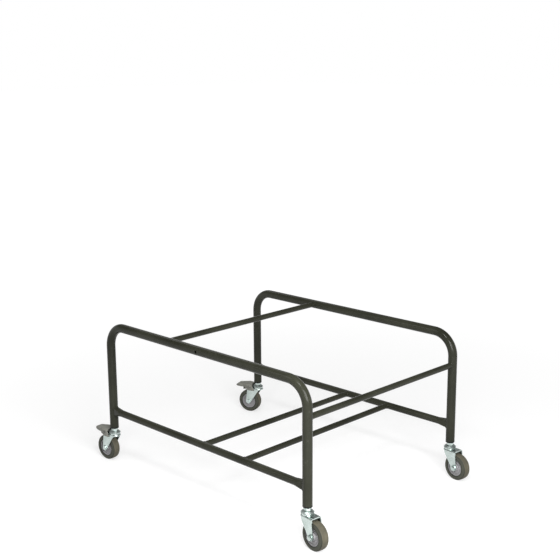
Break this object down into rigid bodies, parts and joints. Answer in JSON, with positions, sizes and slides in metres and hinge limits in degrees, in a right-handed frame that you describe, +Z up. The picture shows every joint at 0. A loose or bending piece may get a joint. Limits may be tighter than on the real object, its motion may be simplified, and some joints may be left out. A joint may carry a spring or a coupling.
{
  "type": "stacking chair trolley",
  "caption": "Low tube-frame trolley with bent end hoops, welded bars and rails, swivel castors and foot brakes, for moving a stack of chairs.",
  "frame": {"origin": "on the floor, midway between the four leg axes", "axes": "+X along the hoops, towards the side with the side rail; +Y from the front hoop to the rear hoop; +Z up"},
  "size_m": [0.9295, 0.6353, 0.4307],
  "materials": {
    "black_powder_coat": "satin powder coat",
    "zinc_plate": "bright blue-white zinc plate",
    "bearing_steel": "ground steel",
    "insert_plastic": "black moulded plastic",
    "hub_plastic": "grey moulded plastic",
    "tyre_rubber": "taupe grey rubber",
    "pedal_plastic": "taupe grey moulded plastic",
    "shoe_rubber": "dark rubber"
  },
  "bodies": {
    "frame": {"hoop_front": "black_powder_coat", "hoop_rear": "black_powder_coat", "lower_bar_front": "black_powder_coat", "lower_bar_rear": "black_powder_coat", "centre_rail": "black_powder_coat", "inner_rail": "black_powder_coat", "upper_rail": "black_powder_coat", "side_rail": "black_powder_coat", "leg_insert_front_left": "insert_plastic", "stem_front_left": "zinc_plate", "race_cap_front_left": "zinc_plate", "retaining_washer_front_left": "zinc_plate", "leg_insert_front_right": "insert_plastic", "stem_front_right": "zinc_plate", "race_cap_front_right": "zinc_plate", "retaining_washer_front_right": "zinc_plate", "leg_insert_rear_left": "insert_plastic", "stem_rear_left": "zinc_plate", "race_cap_rear_left": "zinc_plate", "retaining_washer_rear_left": "zinc_plate", "leg_insert_rear_right": "insert_plastic", "stem_rear_right": "zinc_plate", "race_cap_rear_right": "zinc_plate", "retaining_washer_rear_right": "zinc_plate"},
    "swivel_front_left": {"fork_front_left": "zinc_plate", "balls_front_left": "bearing_steel", "axle_bolt_front_left": "zinc_plate", "axle_nut_front_left": "zinc_plate", "bush_front_left": "bearing_steel", "pedal_pin_front_left": "zinc_plate"},
    "wheel_front_left": {"hub_front_left": "hub_plastic", "tyre_front_left": "tyre_rubber"},
    "pedal_front_left": {"brake_pedal_front_left": "pedal_plastic", "brake_shoe_front_left": "shoe_rubber"},
    "swivel_front_right": {"fork_front_right": "zinc_plate", "balls_front_right": "bearing_steel", "axle_bolt_front_right": "zinc_plate", "axle_nut_front_right": "zinc_plate", "bush_front_right": "bearing_steel"},
    "wheel_front_right": {"hub_front_right": "hub_plastic", "tyre_front_right": "tyre_rubber"},
    "swivel_rear_left": {"fork_rear_left": "zinc_plate", "balls_rear_left": "bearing_steel", "axle_bolt_rear_left": "zinc_plate", "axle_nut_rear_left": "zinc_plate", "bush_rear_left": "bearing_steel", "pedal_pin_rear_left": "zinc_plate"},
    "wheel_rear_left": {"hub_rear_left": "hub_plastic", "tyre_rear_left": "tyre_rubber"},
    "pedal_rear_left": {"brake_pedal_rear_left": "pedal_plastic", "brake_shoe_rear_left": "shoe_rubber"},
    "swivel_rear_right": {"fork_rear_right": "zinc_plate", "balls_rear_right": "bearing_steel", "axle_bolt_rear_right": "zinc_plate", "axle_nut_rear_right": "zinc_plate", "bush_rear_right": "bearing_steel"},
    "wheel_rear_right": {"hub_rear_right": "hub_plastic", "tyre_rear_right": "tyre_rubber"}
  },
  "joints": [
    {"name": "swivel_front_left", "type": "hinge", "parent": "frame", "child": "swivel_front_left", "pos_m": [-0.392, -0.296, 0.1025], "axis": [0, 0, 1], "continuous": true},
    {"name": "wheel_spin_front_left", "type": "hinge", "parent": "swivel_front_left", "child": "wheel_front_left", "pos_m": [-0.42089, -0.29853, 0.0375], "axis": [0.0872, -0.9962, 0], "continuous": true},
    {"name": "pedal_press_front_left", "type": "hinge", "parent": "swivel_front_left", "child": "pedal_front_left", "pos_m": [-0.41591, -0.29809, 0.09], "axis": [0.0872, -0.9962, 0], "range_deg": [0, 12]},
    {"name": "swivel_front_right", "type": "hinge", "parent": "frame", "child": "swivel_front_right", "pos_m": [0.392, -0.296, 0.1025], "axis": [0, 0, 1], "continuous": true},
    {"name": "wheel_spin_front_right", "type": "hinge", "parent": "swivel_front_right", "child": "wheel_front_right", "pos_m": [0.42089, -0.29853, 0.0375], "axis": [0.0872, 0.9962, 0], "continuous": true},
    {"name": "swivel_rear_left", "type": "hinge", "parent": "frame", "child": "swivel_rear_left", "pos_m": [-0.392, 0.296, 0.1025], "axis": [0, 0, 1], "continuous": true},
    {"name": "wheel_spin_rear_left", "type": "hinge", "parent": "swivel_rear_left", "child": "wheel_rear_left", "pos_m": [-0.41925, 0.28608, 0.0375], "axis": [0.342, -0.9397, 0], "continuous": true},
    {"name": "pedal_press_rear_left", "type": "hinge", "parent": "swivel_rear_left", "child": "pedal_rear_left", "pos_m": [-0.41455, 0.28779, 0.09], "axis": [0.342, -0.9397, 0], "range_deg": [0, 12]},
    {"name": "swivel_rear_right", "type": "hinge", "parent": "frame", "child": "swivel_rear_right", "pos_m": [0.392, 0.296, 0.1025], "axis": [0, 0, 1], "continuous": true},
    {"name": "wheel_spin_rear_right", "type": "hinge", "parent": "swivel_rear_right", "child": "wheel_rear_right", "pos_m": [0.42089, 0.29347, 0.0375], "axis": [0.0872, 0.9962, 0], "continuous": true}
  ]
}
